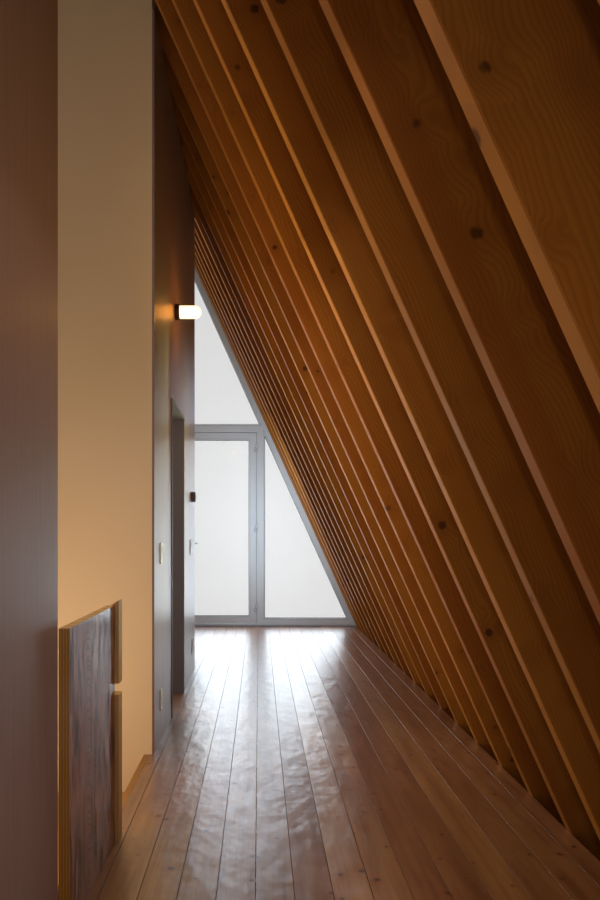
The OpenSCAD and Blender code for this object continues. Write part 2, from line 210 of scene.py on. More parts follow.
def rgb(code):
    """Linear colour from a hexadecimal one."""
    parts = [int(code[i:i + 2], 16) / 255 for i in (0, 2, 4)]
    return tuple(c / 12.92 if c < 0.04045 else ((c + 0.055) / 1.055) ** 2.4 for c in parts) + (1.0,)


def material(name, **constants):
    """A material, its graph and its Principled shader, with constants set on the shader's own sockets."""
    made = bpy.data.materials.new(name)
    made.use_nodes = True
    shader = made.node_tree.nodes["Principled BSDF"]
    for socket, value in constants.items():
        shader.inputs[socket.replace("_", " ")].default_value = value
    return made, Graph(made.node_tree), shader


def pith_distance(g, grain, wander):
    """Distance from a wandering pith, which the growth rings follow."""
    drift = g.swing(g.streaks(grain, (0.9, 2.2, 2.2), output="Color"), (0.0, wander, wander))
    ripple = g.swing(g.streaks(grain, (5.0, 24.0, 24.0), output="Color"), (0.0, 0.006, 0.006))
    flat = g.vector("MULTIPLY", grain, (0.0, 1.0, 1.0))
    return g.vector("LENGTH", g.vector("ADD", g.vector("ADD", flat, drift), ripple))


def knots(g, grain, cell, size):
    """A mask of dark knots and a wider one of the grain that flows round them."""
    warp = g.streaks(grain, (40.0, 70.0, 70.0), 2.0, 0.6, "Color")
    bent = g.vector("ADD", grain, g.swing(warp, (0.012, 0.012, 0.012)))
    cells = g.add("TexVoronoi", {"Vector": bent, "Scale": 1 / cell}, feature="F1", voronoi_dimensions="3D")
    distance = g.math("MULTIPLY", cells.outputs["Distance"], cell)
    kind = g.split(cells.outputs["Color"])[0]
    radius = g.fade(kind, 0.0, 1.0, size * 0.35, size)
    core = g.fade(g.math("DIVIDE", distance, radius), 0.6, 1.15, 0.8, 0.0)
    halo = g.fade(g.math("DIVIDE", distance, radius), 0.8, 5.0, 1.0, 0.0)
    return core, halo


def timber(name, light, dark, knot, grain_of, spacing=0.006, wander=0.16, cell=0.2, knot_size=0.011,
           tone=0.25, contrast=1.0, other=None, **constants):
    """Sawn timber. grain_of gives a place in metres, X along the grain, and a random number per piece."""
    made, g, shader = material(name, **constants)
    grain, piece = grain_of(g)
    core, halo = knots(g, grain, cell, knot_size)
    radius = g.total((pith_distance(g, grain, wander), 1.0), (halo, spacing * 2.2))
    saw = g.math("FRACT", g.math("DIVIDE", radius, spacing))
    late = g.math("MULTIPLY", g.fade(saw, 0.25, 0.86), g.fade(saw, 0.9, 1.0, 1.0, 0.0))
    fibre = g.streaks(grain, (6.0, 260.0, 260.0), 3.0, 0.6)
    broad = g.streaks(grain, (0.8, 9.0, 9.0))
    amount = g.total((late, 0.62 * contrast), (fibre, 0.38 * contrast))
    light_wood = rgb(light)
    if other:
        across = g.streaks(grain, (0.25, 9.0, 9.0), 1.0)
        light_wood = g.mix(g.fade(across, 0.42, 0.58), rgb(light), rgb(other))
    colour = g.mix(amount, light_wood, rgb(dark))
    shade = g.total((piece, tone), (broad, tone * 0.8))
    colour = g.mix(shade, colour, rgb(dark), "MULTIPLY")
    colour = g.mix(g.math("MULTIPLY", halo, 0.35), colour, rgb(dark))
    colour = g.mix(core, colour, rgb(knot))
    g.feed(shader.inputs["Base Color"], colour)
    g.feed(shader.inputs["Normal"], g.bump(g.total((fibre, 0.5), (late, -0.3)), 0.0003))
    return made


def rafter_grain(g):
    """Along a rafter, across its side and through it, moved by a random length for each rafter."""
    x, y, z = g.split(g.place())
    rise, run = math.sin(PITCH), math.cos(PITCH)
    along = g.total((z, rise), (x, -run))
    depth = g.total((z, run), (x, rise))
    index = g.math("FLOOR", g.math("DIVIDE", g.math("SUBTRACT", y, RAFTER_LO.y - 0.01), SPACING))
    through = g.math("SUBTRACT", y, g.math("MULTIPLY", index, SPACING))
    draw = g.add("TexWhiteNoise", {"W": index}, noise_dimensions="1D")
    shift = g.swing(draw.outputs["Color"], (30.0, 0.5, 0.2))
    return g.vector("ADD", g.join(along, depth, through), shift), draw.outputs["Value"]


def grain_along(axis, shift=(0.0, 0.0, 0.0)):
    """Grain along X, Y or Z, without a random length."""
    order = {"X": (0, 1, 2), "Y": (1, 0, 2), "Z": (2, 0, 1)}[axis]

    def grain_of(g):
        parts = g.split(g.place())
        piece = g.noise(g.place(), 0.7, 0.0)
        return g.vector("ADD", g.join(*(parts[i] for i in order)), shift), piece

    return grain_of


def floor_timber():
    """Varnished boards: faint streaks, brown knots, dark joints, a slight tilt and ripple of each."""
    made, g, shader = material("floor_boards", Roughness=0.4, Specular_IOR_Level=0.8, Coat_Weight=0.95,
                               Coat_Roughness=0.27)
    x, y, z = g.split(g.place())
    draw = g.drawn()
    hue, tone = g.split(draw)[0], g.split(draw)[2]
    grain = g.vector("ADD", g.join(y, x, z), g.swing(draw, (40.0, 7.0, 0.3)))
    streak = g.streaks(grain, (1.6, 26.0, 26.0), 3.0, 0.6)
    fibre = g.streaks(grain, (6.0, 260.0, 260.0), 3.0, 0.6)
    cloud = g.streaks(grain, (2.2, 10.0, 10.0))
    amount = g.fade(g.total((streak, 0.5), (fibre, 0.25), (cloud, 0.25)), 0.34, 0.66)
    light = g.mix(hue, rgb("a07048"), rgb("945f47"))
    dark = g.mix(hue, rgb("764628"), rgb("6a3c2a"))
    colour = g.mix(amount, light, dark)
    colour = g.mix(g.math("MULTIPLY", tone, 0.45), colour, rgb("7a4c30"), "MULTIPLY")

    warp = g.streaks(grain, (50.0, 90.0, 0.0), 2.0, 0.6, "Color")
    bent = g.vector("ADD", grain, g.swing(warp, (0.012, 0.008, 0.0)))
    cells = g.add("TexVoronoi", {"Vector": bent, "Scale": 6.5}, feature="F1", voronoi_dimensions="2D")
    radius = g.fade(g.split(cells.outputs["Color"])[0], 0.1, 1.0, 0.003, 0.014)
    knot = g.math("DIVIDE", g.math("MULTIPLY", cells.outputs["Distance"], 0.154), radius)
    colour = g.mix(g.fade(knot, 0.9, 3.0, 0.65, 0.0), colour, rgb("7a4424"))
    colour = g.mix(g.fade(knot, 0.5, 1.1, 1.0, 0.0), colour, rgb("32160a"))
    joint = g.fade(z, FLOOR - 0.003, FLOOR - 0.0007)
    joint = g.math("MAXIMUM", joint, g.math("LESS_THAN", y, NEAR + 0.005))
    g.feed(shader.inputs["Base Color"], g.mix(joint, rgb("1c100a"), colour))

    normal = g.vector("NORMALIZE", g.vector("ADD", g.normal(), g.swing(draw, (0.09, 0.02, 0.0))))
    relief = g.total((g.streaks(grain, (6.0, 9.0, 0.0)), 1.0), (fibre, 0.04))
    bump = g.add("Bump", {"Height": relief, "Distance": 0.0058, "Strength": 1.0, "Normal": normal})
    g.feed(shader.inputs["Normal"], bump.outputs[0])
    g.feed(shader.inputs["Coat Normal"], bump.outputs[0])
    return made


def board_grain(g):
    """Grain along Y, moved by the random vector that each board carries."""
    x, y, z = g.split(g.place())
    shift = g.swing(g.drawn(), (40.0, 0.7, 0.3))
    return g.vector("ADD", g.join(y, x, z), shift), g.split(g.drawn())[2]


def plaster():
    """White plaster: a fine grain over broad waves."""
    made, g, shader = material("white_plaster", Roughness=0.85, Specular_IOR_Level=0.1)
    place = g.place()
    cloud = g.noise(place, 1.6, 3.0)
    g.feed(shader.inputs["Base Color"], g.mix(cloud, rgb("c8b090"), rgb("d4bd9e")))
    fine = g.noise(place, 260.0, 3.0, 0.6)
    broad = g.noise(place, 14.0, 2.0)
    g.feed(shader.inputs["Normal"], g.bump(g.total((fine, 0.25), (broad, 1.0)), 0.0006))
    return made


def guard_figure(g, place, fold, heart):
    """Coarse grain that runs upright beside the heart line and in arches over it."""
    y, z = g.split(place)[1:]
    side = g.math("SUBTRACT", g.math("ADD", y, fold), heart)
    across = g.total((y, 42.0), (g.streaks(place, (0.0, 9.0, 6.0)), 3.0))
    wavy = g.noise(g.join(0.0, across, g.math("MULTIPLY", z, 5.0)), 1.0)
    rise = g.total((z, 1.0), (g.math("MULTIPLY", side, side), 14.0))
    peaks = g.noise(g.join(g.math("MULTIPLY", rise, 100.0), 0.0, 0.0), 1.0, 1.0)
    middle = g.fade(g.math("ABSOLUTE", side), 0.02, 0.08, 0.8, 0.0)
    figure = g.math("ADD", wavy, g.math("MULTIPLY", middle, g.math("SUBTRACT", peaks, wavy)))
    return g.fade(figure, 0.36, 0.62)


def veneer(name, light, dark, edge, lined, ply_t, heart=None, **constants):
    """Stained plywood with upright grain. Its cut edges show the raw plies."""
    made, g, shader = material(name, **constants)
    place = g.place()
    x, y, z = g.split(place)
    fold = g.math("MULTIPLY", g.streaks(place, (3.0, 3.0, 0.7)), 0.06)
    stripe = g.join(g.math("ADD", x, fold), g.math("ADD", y, fold), g.math("MULTIPLY", z, 0.02))
    fibre = g.noise(stripe, lined, 3.0, 0.65)
    pores = g.noise(g.join(x, y, g.math("MULTIPLY", z, 0.03)), lined * 6.0, 2.0, 0.6)
    if heart:
        fibre = guard_figure(g, place, fold, heart)
        g.feed(shader.inputs["Coat Weight"], g.fade(fibre, 0.0, 1.0, 0.2, 1.0))
    amount = g.fade(g.total((fibre, 0.75), (pores, 0.25)), 0.3, 0.7)
    colour = g.mix(amount, rgb(dark), rgb(light))
    face = g.fade(g.math("ABSOLUTE", g.split(g.normal())[0]), 0.4, 0.6)
    ply = g.fade(g.math("PINGPONG", x, ply_t), ply_t * 0.35, ply_t * 0.65)
    raw = g.mix(g.math("MULTIPLY", ply, 0.5), rgb(edge), rgb("5a2f18"))
    g.feed(shader.inputs["Base Color"], g.mix(face, raw, colour))
    g.feed(shader.inputs["Normal"], g.bump(amount, 0.0002))
    return made


def satin(name, code, roughness, metallic=0.0, painted_gap_shade=False):
    """Paint, plastic or anodised metal with a faint orange peel, and painted shade in its gaps if asked."""
    made, g, shader = material(name, Metallic=metallic)
    place = g.place()
    base = rgb(code)
    worn = tuple(c * 0.88 for c in base[:3]) + (1.0,)
    cloud = g.noise(place, 6.0, 4.0, 0.6)
    colour = g.mix(cloud, base, worn)
    if painted_gap_shade:
        # Painted shade: the colour darkens where ambient occlusion finds nearby surfaces, in the frames'
        # gaps and corners.
        occlusion_shade = g.add("AmbientOcclusion", {"Distance": 0.045}).outputs["AO"]
        shaded = tuple(c * 0.3 for c in base[:3]) + (1.0,)
        colour = g.mix(g.fade(occlusion_shade, 0.4, 0.95), shaded, colour)
    g.feed(shader.inputs["Base Color"], colour)
    rubbed = g.noise(place, 30.0, 3.0)
    g.feed(shader.inputs["Roughness"], g.fade(rubbed, 0.2, 0.8, roughness - 0.06, roughness + 0.06))
    g.feed(shader.inputs["Normal"], g.bump(g.noise(place, 700.0, 2.0), 0.00005))
    return made


def roof_metal():
    """Coated sheet with the slight pan waves of long trays."""
    made, g, shader = material("roof_metal", Metallic=0.55)
    waves = g.streaks(g.place(), (0.6, 4.0, 0.6))
    streaks = g.streaks(g.place(), (1.0, 22.0, 0.4), 4.0, 0.6)
    g.feed(shader.inputs["Base Color"], g.mix(streaks, rgb("50555a"), rgb("6a6f74")))
    g.feed(shader.inputs["Roughness"], g.fade(streaks, 0.2, 0.8, 0.34, 0.5))
    g.feed(shader.inputs["Normal"], g.bump(waves, 0.004))
    return made


def pane():
    """Clear glass that lets daylight through and mirrors at a slant."""
    made, g, shader = material("clear_glass", Roughness=0.03, Alpha=0.2, IOR=1.5)
    waves = g.noise(g.place(), 1.5, 1.0)
    g.feed(shader.inputs["Base Color"], g.mix(waves, rgb("c9cbca"), rgb("d8dad9")))
    return made


def opal():
    """Opal glass that glows a little less towards its rim."""
    made, g, shader = material("opal_glass", Roughness=0.25)
    rim = g.add("LayerWeight", {"Blend": 0.35}).outputs["Facing"]
    g.feed(shader.inputs["Base Color"], g.mix(rim, rgb("fff4dc"), rgb("f6dcae")))
    glow = g.mix(rim, rgb("ffeccc"), rgb("ffd290"))
    shown = g.add("LightPath").outputs["Is Camera Ray"]
    g.feed(shader.inputs["Emission Color"], g.mix(shown, rgb("ff9c3c"), glow))
    g.feed(shader.inputs["Emission Strength"], g.fade(shown, 0.0, 1.0, 3.6, 1.7))
    return made


GUARD_LO, GUARD_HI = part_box("guard_panel")
RAFTER_WOOD = timber("rafter_timber", "b27630", "7a461c", "3c2414", rafter_grain, spacing=0.0036,
                     wander=0.08, cell=0.15, knot_size=0.021, tone=0.3, contrast=0.45, other="aa6a2c",
                     Roughness=0.6, Specular_IOR_Level=0.03, Coat_Weight=0.12, Coat_Roughness=0.3)
FLOOR_WOOD = floor_timber()
ROOF_WOOD = timber("roof_boards", "6e2e16", "451a0b", "260e06", board_grain, tone=0.5, Roughness=0.6,
                   Specular_IOR_Level=0.06)
JOIST_WOOD = timber("joist_timber", "c09a68", "8e6439", "3a2012", grain_along("X"), Roughness=0.7)
TREAD_WOOD = timber("tread_timber", "c98f4a", "9a5f2a", "3c2010", grain_along("X"), cell=0.3,
                    Roughness=0.4)
RIDGE_WOOD = timber("ridge_timber", "a2662f", "5c2f12", "1f0e07", grain_along("Y", (0.3, 0.2, 0.0)),
                    Roughness=0.5)
PLY_DARK = veneer("dark_plywood", "9e7e70", "7e5c4e", "6e5446", 90.0, 0.002, Roughness=0.36,
                  Coat_Weight=0.2, Coat_Roughness=0.28)
PLY_NEAR = veneer("near_plywood", "8a6c62", "7e6055", "6e5446", 90.0, 0.002, Roughness=0.4,
                  Coat_Weight=0.12, Coat_Roughness=0.3)
PLY_GUARD = veneer("guard_plywood", "8c5644", "34180f", "b07820", 110.0, 0.0042,
                   heart=GUARD_LO.y * (1 - HEART) + GUARD_HI.y * HEART,
                   Roughness=0.4, Coat_Weight=0.9, Coat_Roughness=0.2)
POST_WOOD = timber("post_timber", "c29250", "98642f", "5a3418", grain_along("Z"), spacing=0.003,
                   wander=0.02, contrast=0.4, Roughness=0.45)
CASING = satin("casing_timber", "7e797e", 0.45)
PLASTER = plaster()
FRAME_PAINT = satin("gable_frame", "d0d6da", 0.4, painted_gap_shade=True)
ROOF_METAL = roof_metal()
GLASS = pane()
STEEL = satin("satin_metal", "b9c0c8", 0.35, 0.4)
LAMP_METAL = satin("lamp_metal", "5a4028", 0.4, 0.6)
OPAL = opal()
PLATE = satin("plate_plastic", "f2f0ec", 0.35)
# Dark rubber for the glazing seals, also used as painted shade in the socket holes.
RUBBER_AND_HOLE_SHADE = satin("dark_rubber_and_hole_shade", "1c1c1e", 0.6)
BOX_PAINT = satin("control_box", "6a666c", 0.4)

FINISH = {
    "ridge_beam": RIDGE_WOOD, "gable_rafter": RAFTER_WOOD, "roof_deck": ROOF_WOOD, "roof_sheet": ROOF_METAL,
    "floor_frame": JOIST_WOOD, "floor_deck": FLOOR_WOOD,
    "stair_landing": TREAD_WOOD, "stair_nosing": TREAD_WOOD,
    "partition_near": PLY_DARK, "partition_far": PLY_DARK, "partition_head": PLY_DARK,
    "doorway_casing": CASING, "stair_end_wall": PLASTER, "near_wall": PLY_NEAR,
    "guard_panel": PLY_GUARD, "guard_post": POST_WOOD,
    "gable_rails": FRAME_PAINT, "gable_posts": FRAME_PAINT, "gable_rake_rail": FRAME_PAINT,
    "gable_panes": GLASS, "door_jamb": FRAME_PAINT, "door_leaf": FRAME_PAINT, "door_pane": GLASS,
    "door_hardware": STEEL, "wall_lamp_base": LAMP_METAL, "wall_lamp_globe": OPAL, "wall_plates": PLATE,
}
for name in RAFTERS:
    FINISH[name] = RAFTER_WOOD
for name, finish in FINISH.items():
    NODES[name].data.materials.clear()
    NODES[name].data.materials.append(finish)


def plank(bm, draw, outline, y0, y1, arris):
    """A board along Y with an outline in X and Z, its edges eased, carrying a random vector."""
    corners = [Vector(c) for c in outline]
    mid = sum(corners, Vector((0.0, 0.0))) / len(corners)

    def ring(y, pinch):
        points = []
        for i, corner in enumerate(corners):
            for other in (corners[i - 1], corners[(i + 1) % len(corners)]):
                point = corner + (other - corner).normalized() * arris
                point += (mid - point).normalized() * pinch
                points.append(bm.verts.new((point.x, y, point.y)))
        return points

    stations = [ring(y0, arris * 0.7), ring(y0 + arris, 0.0), ring(y1 - arris, 0.0), ring(y1, arris * 0.7)]
    value = Vector((chance.random(), chance.random(), chance.random()))
    for points in stations:
        for vertex in points:
            vertex[draw] = value
    sides = len(stations[0])
    for near, far in zip(stations, stations[1:]):
        for i in range(sides):
            j = (i + 1) % sides
            bm.faces.new((near[i], near[j], far[j], far[i]))
    bm.faces.new(reversed(stations[0]))
    bm.faces.new(stations[-1])


def clipped(outline, keep):
    """The part of an outline where keep(point) is not negative."""
    kept = []
    for a, b in zip(outline, outline[1:] + outline[:1]):
        ka, kb = keep(a), keep(b)
        if ka >= 0:
            kept.append(a)
        if ka * kb < 0:
            share = ka / (ka - kb)
            kept.append((a[0] + (b[0] - a[0]) * share, a[1] + (b[1] - a[1]) * share))
    return kept


def solids(node):
    """Lowest corner, highest corner and points of each separate solid of a node, always in one order."""
    bm = bmesh.new()
    bm.from_mesh(NODES[node].data)
    bmesh.ops.remove_doubles(bm, verts=bm.verts, dist=1e-5)
    left = set(bm.verts)
    found = []
    while left:
        group, edge = set(), [left.pop()]
        while edge:
            vertex = edge.pop()
            group.add(vertex)
            near = {e.other_vert(vertex) for e in vertex.link_edges} & left
            left -= near
            edge.extend(near)
        points = sorted((v.co.copy() for v in group), key=tuple)
        lo = Vector([min(p[i] for p in points) for i in range(3)])
        hi = Vector([max(p[i] for p in points) for i in range(3)])
        found.append((lo, hi, points))
    bm.free()
    return sorted(found, key=lambda solid: (round(solid[0].y, 3), solid[0].z, solid[0].x))


def finish_mesh(bm, name, finish, body="cabin"):
    """Makes a piece of a mesh, gives it its material and lets it ride a body."""
    bmesh.ops.recalc_face_normals(bm, faces=bm.faces)
    mesh = bpy.data.meshes.new(name)
    bm.to_mesh(mesh)
    bm.free()
    made = bpy.data.objects.new(name, mesh)
    bpy.context.scene.collection.objects.link(made)
    mesh.materials.append(finish)
    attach(made, body)
    return made


def runs(y0, y1, longest, shortest):
    """Lengths of boards end to end from y0 to y1."""
    ends = [y0]
    while y1 - ends[-1] > longest:
        ends.append(ends[-1] + chance.uniform(shortest, longest))
    if y1 - ends[-1] < shortest / 3:
        ends.pop()
    return list(zip(ends, ends[1:] + [y1]))


def floor_rows(bm, draw, x0, x1, y0, y1, x1_low):
    """Rows of floor boards between two edges, the outer edge raked with the roof."""
    first = PARTITION + FIRST_JOINT
    k = math.floor((x0 - first) / BOARD_W)
    while first + k * BOARD_W < x1 - 1e-6:
        left = max(x0, first + k * BOARD_W + BOARD_GAP / 2)
        right = min(x1, first + (k + 1) * BOARD_W - BOARD_GAP / 2)
        k += 1
        if right - left < NARROWEST_STRIP:
            continue
        low = x1_low if right == x1 else right
        for near, far in runs(y0, y1, *BOARD_LENGTHS):
            corners = ((left, FLOOR_UNDER), (low, FLOOR_UNDER), (right, FLOOR), (left, FLOOR))
            plank(bm, draw, corners, near + BOARD_GAP / 2, far - BOARD_GAP / 2, BOARD_ARRIS)


def floor_boards():
    """Boards along the gallery, round the stair, and short ones between the rafters."""
    bm = bmesh.new()
    draw = bm.verts.layers.float_vector.new("draw")
    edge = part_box("near_wall")[1].x
    clear = 0.0004
    raked = slope_x(FLOOR) - clear
    raked_low = slope_x(FLOOR_UNDER) - clear
    floor_rows(bm, draw, edge + clear, raked, NEAR, FAR, raked_low)
    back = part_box("stair_end_wall")[1].y
    floor_rows(bm, draw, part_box("floor_deck")[0].x, edge, back + clear, FAR, edge)
    outer = OUTER_FOOT - INNER_FOOT - clear
    ends = [NEAR] + [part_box(n)[1].y for n in RAFTERS]
    starts = [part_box(n)[0].y for n in RAFTERS] + [GABLE]
    for y0, y1 in zip(ends, starts):
        floor_rows(bm, draw, raked + 2 * clear, slope_x(FLOOR) + outer, y0 + clear, y1 - clear,
                   slope_x(FLOOR_UNDER) + outer)
    made = finish_mesh(bm, "gallery_floor_boards", FLOOR_WOOD)
    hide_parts("floor_deck")


def roof_boards():
    """Boards along the building, laid up the slope from the eave to the ridge plane."""
    bm = bmesh.new()
    draw = bm.verts.layers.float_vector.new("draw")
    lo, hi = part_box("roof_deck")
    feet = [v.co.x for v in NODES["roof_deck"].data.vertices if v.co.z < lo.z + 1e-5]
    inner = (min(feet) + lo.z / RISE - INNER_FOOT) * math.sin(PITCH)
    outer = (max(feet) + lo.z / RISE - INNER_FOOT) * math.sin(PITCH)

    def point(along, depth):
        return (INNER_FOOT - along * math.cos(PITCH) + depth * math.sin(PITCH),
                along * math.sin(PITCH) + depth * math.cos(PITCH))

    along = -ROOF_BOARD_W
    while point(along, outer)[0] > lo.x:
        a, b = along + ROOF_BOARD_GAP / 2, along + ROOF_BOARD_W - ROOF_BOARD_GAP / 2
        along += ROOF_BOARD_W
        outline = [point(a, inner), point(a, outer), point(b, outer), point(b, inner)]
        outline = clipped(outline, lambda p: p[1] - lo.z)
        outline = clipped(outline, lambda p: p[0] - lo.x) if outline else outline
        if len(outline) < 3:
            continue
        for near, far in runs(lo.y, hi.y, *ROOF_BOARD_LENGTHS):
            plank(bm, draw, outline, near + 0.0005, far - 0.0005, 0.001)
    made = finish_mesh(bm, "roof_boarding", ROOF_WOOD)
    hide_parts("roof_deck")


def ordered(points):
    """The corners in X and Z of a flat pane, in order round its middle."""
    flat = {(round(p.x, 4), round(p.z, 4)) for p in points}
    mid_x = sum(p[0] for p in flat) / len(flat)
    mid_z = sum(p[1] for p in flat) / len(flat)
    return [Vector(p) for p in sorted(flat, key=lambda p: math.atan2(p[1] - mid_z, p[0] - mid_x))]


def inset(corners, by):
    """Corners moved inwards so that each side moves by the same width."""
    moved = []
    for i, corner in enumerate(corners):
        before = (corner - corners[i - 1]).normalized()
        after = (corners[(i + 1) % len(corners)] - corner).normalized()
        inward_a, inward_b = Vector((-before.y, before.x)), Vector((-after.y, after.x))
        moved.append(corner + (inward_a + inward_b) * by / (1 + inward_a.dot(inward_b)))
    return moved


def bead(bm, corners, width, y_frame, y_glass, chamfer):
    """A mitred bead round a pane: against the glass at y_glass, chamfered at its free corner."""
    steps = [(0.0, y_glass), (width, y_glass), (width, y_frame + math.copysign(chamfer, y_glass - y_frame)),
             (width - chamfer, y_frame), (0.0, y_frame)]
    loops = [[bm.verts.new((c.x, y, c.y)) for c in inset(corners, by)] for by, y in steps]
    for k, loop in enumerate(loops):
        other = loops[(k + 1) % len(loops)]
        for i in range(len(corners)):
            j = (i + 1) % len(corners)
            bm.faces.new((loop[i], loop[j], other[j], other[i]))


def glazing(node, frame_node, name, body):
    """Beads and rubber seals on both faces of each pane of a node."""
    bead_w, seal_w, seal_t, set_back = 0.014, 0.019, 0.003, 0.004
    frame_lo, frame_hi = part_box(frame_node)
    beads, seals = bmesh.new(), bmesh.new()
    for lo, hi, points in solids(node):
        corners = ordered(points)
        for glass_y, frame_y in ((lo.y, frame_lo.y), (hi.y, frame_hi.y)):
            out = math.copysign(1.0, frame_y - glass_y)
            bead(seals, corners, seal_w, glass_y + out * seal_t, glass_y, 0.001)
            bead(beads, corners, bead_w, frame_y - out * set_back, glass_y + out * seal_t, 0.003)
    for bm, part, finish in ((beads, "beads", FRAME_PAINT), (seals, "seals", RUBBER_AND_HOLE_SHADE)):
        finish_mesh(bm, f"{name}_{part}", finish, body)


def rounded(y, z, half, radius):
    """Points in Y and Z of a rectangle with round corners, from its middle and its half sizes."""
    steps = 4
    points = []
    for corner, (side_y, side_z) in enumerate(((1, 1), (-1, 1), (-1, -1), (1, -1))):
        for i in range(steps + 1):
            turn = math.pi / 2 * (corner + i / steps)
            points.append((y + side_y * (half[0] - radius) + radius * math.cos(turn),
                           z + side_z * (half[1] - radius) + radius * math.sin(turn)))
    return points


def loft(bm, sections):
    """A closed body through like outlines, each at a distance X that may lean with its height."""
    loops = []
    for x, lean, outline in sections:
        mid = sum(z for y, z in outline) / len(outline)
        loops.append([bm.verts.new((x + lean * (z - mid), y, z)) for y, z in outline])
    for near, far in zip(loops, loops[1:]):
        for i in range(len(near)):
            j = (i + 1) % len(near)
            bm.faces.new((near[i], near[j], far[j], far[i]))
    bm.faces.new(reversed(loops[0]))
    bm.faces.new(loops[-1])


def cover(bm, lo, hi, front, opening, sunk):
    """A cover plate with eased edges and a sunk field."""
    y, z = (lo.y + hi.y) / 2, (lo.z + hi.z) / 2
    half = ((hi.y - lo.y) / 2, (hi.z - lo.z) / 2)
    edge, radius = 0.0015, 0.004
    eased = (half[0] - edge, half[1] - edge)
    full = rounded(y, z, half, radius)
    field = rounded(y, z, opening, 0.002)
    loft(bm, [(lo.x, 0.0, full), (front - edge, 0.0, full),
              (front, 0.0, rounded(y, z, eased, radius - edge / 2)),
              (front, 0.0, field), (front - sunk, 0.0, field)])
    return y, z


def screw(bm, x, y, z):
    """A domed screw head."""
    radius, crown = 0.003, 0.0018
    rim = rounded(y, z, (radius, radius), radius)
    loft(bm, [(x - 0.001, 0.0, rim), (x + 0.0005, 0.0, rim),
              (x + 0.001, 0.0, rounded(y, z, (crown, crown), crown))])


def control_box(boxes, slots, lo, hi):
    """A box with a dark window and two buttons."""
    y, z = cover(boxes, lo, hi, hi.x, BOX_FIELD, 0.002)
    window = rounded(y, z, BOX_WINDOW, 0.002)
    loft(slots, [(hi.x - 0.003, 0.0, window), (hi.x - 0.0015, 0.0, window)])
    for side in (-1, 1):
        button_y, button_z = y + side * 0.012, z - 0.026
        loft(boxes, [(hi.x - 0.001, 0.0, rounded(button_y, button_z, BUTTON_FOOT, 0.002)),
                     (hi.x, 0.0, rounded(button_y, button_z, BUTTON_TOP, 0.0015))])


def rocker(plates, front, y, z):
    """A rocker that leans in its opening, between two screws."""
    base = rounded(y, z, ROCKER_FOOT, 0.0015)
    lean = 0.035
    loft(plates, [(front - 0.0035, 0.0, base), (front - 0.0002, lean, base),
                  (front + 0.0004, lean, rounded(y, z, ROCKER_TOP, 0.001))])
    for side in (-1, 1):
        screw(plates, front, y, z + side * 0.048)


def sockets(plates, slots, front, y, z):
    """Two sockets with their slots, over and under one screw."""
    screw(plates, front - 0.003, y, z)
    for side in (-1, 1):
        middle = z + side * 0.0175
        foot = rounded(y, middle, SOCKET_FOOT, 0.008)
        loft(plates, [(front - 0.0035, 0.0, foot), (front + 0.0002, 0.0, foot),
                      (front + 0.0008, 0.0, rounded(y, middle, SOCKET_TOP, 0.0075))])
        # The slots are thin dark inserts on the socket face: painted shade in the socket holes.
        for slot_y, slot_z, wide, tall in ((-0.006, 0.003, 0.0011, 0.004), (0.006, 0.003, 0.0011, 0.0033),
                                           (0.0, -0.0075, 0.0022, 0.0022)):
            shape = rounded(y + slot_y, middle + slot_z, (wide, tall), wide * 0.9)
            loft(slots, [(front - 0.001, 0.0, shape), (front + 0.001, 0.0, shape)])


def wall_plates():
    """Switches with a rocker, outlets with two sockets, and the control box by the doorway."""
    plates, slots, boxes = bmesh.new(), bmesh.new(), bmesh.new()
    box_depth, switch_height = 0.01, FLOOR + 0.6
    for lo, hi, _ in solids("wall_plates"):
        if hi.x - lo.x > box_depth:
            control_box(boxes, slots, lo, hi)
            continue
        front = hi.x - 0.0015
        y, z = cover(plates, lo, hi, front, OPENING, 0.003)
        if lo.z > switch_height:
            rocker(plates, front, y, z)
        else:
            sockets(plates, slots, front, y, z)
    made = finish_mesh(plates, "switches_and_outlets", PLATE)
    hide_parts("wall_plates")
    finish_mesh(boxes, "control_box", BOX_PAINT)
    finish_mesh(slots, "outlet_slots", RUBBER_AND_HOLE_SHADE)


floor_boards()
roof_boards()
glazing("gable_panes", "gable_rails", "fixed_pane", "cabin")
glazing("door_pane", "door_leaf", "door_pane", "gable_door")
wall_plates()


def stage():
    """A plain pale floor under the part."""
    size = 60.0
    mesh = bpy.data.meshes.new("studio_floor")
    corners = [(-size, -size), (size, -size), (size, size), (-size, size)]
    mesh.from_pydata([(x, y, -0.002) for x, y in corners], [], [(0, 1, 2, 3)])
    ground = bpy.data.objects.new("studio_floor", mesh)
    bpy.context.scene.collection.objects.link(ground)
    made, g, shader = material("studio_floor", Roughness=0.9, Base_Color=(0.72, 0.72, 0.71, 1.0))
    x, y = g.split(g.place())[:2]
    beside = g.math("SUBTRACT", g.math("ABSOLUTE", x), cad_box[1].x)
    beyond = g.math("SUBTRACT", g.math("ABSOLUTE", y), cad_box[1].y)
    away = g.fade(g.math("MAXIMUM", beside, beyond), 1.0, 3.0)
    shown = g.add("LightPath").outputs
    seen = g.math("MAXIMUM", shown["Is Camera Ray"], shown["Is Glossy Ray"])
    seen = g.math("MAXIMUM", seen, shown["Is Transmission Ray"])
    white = g.add("Emission", {"Color": (1.0, 1.0, 1.0, 1.0), "Strength": 1.0}).outputs[0]
    blend = g.add("MixShader", {0: g.math("MULTIPLY", away, seen), 1: shader.outputs[0], 2: white})
    g.feed(made.node_tree.nodes["Material Output"].inputs["Surface"], blend.outputs[0])
    mesh.materials.append(made)


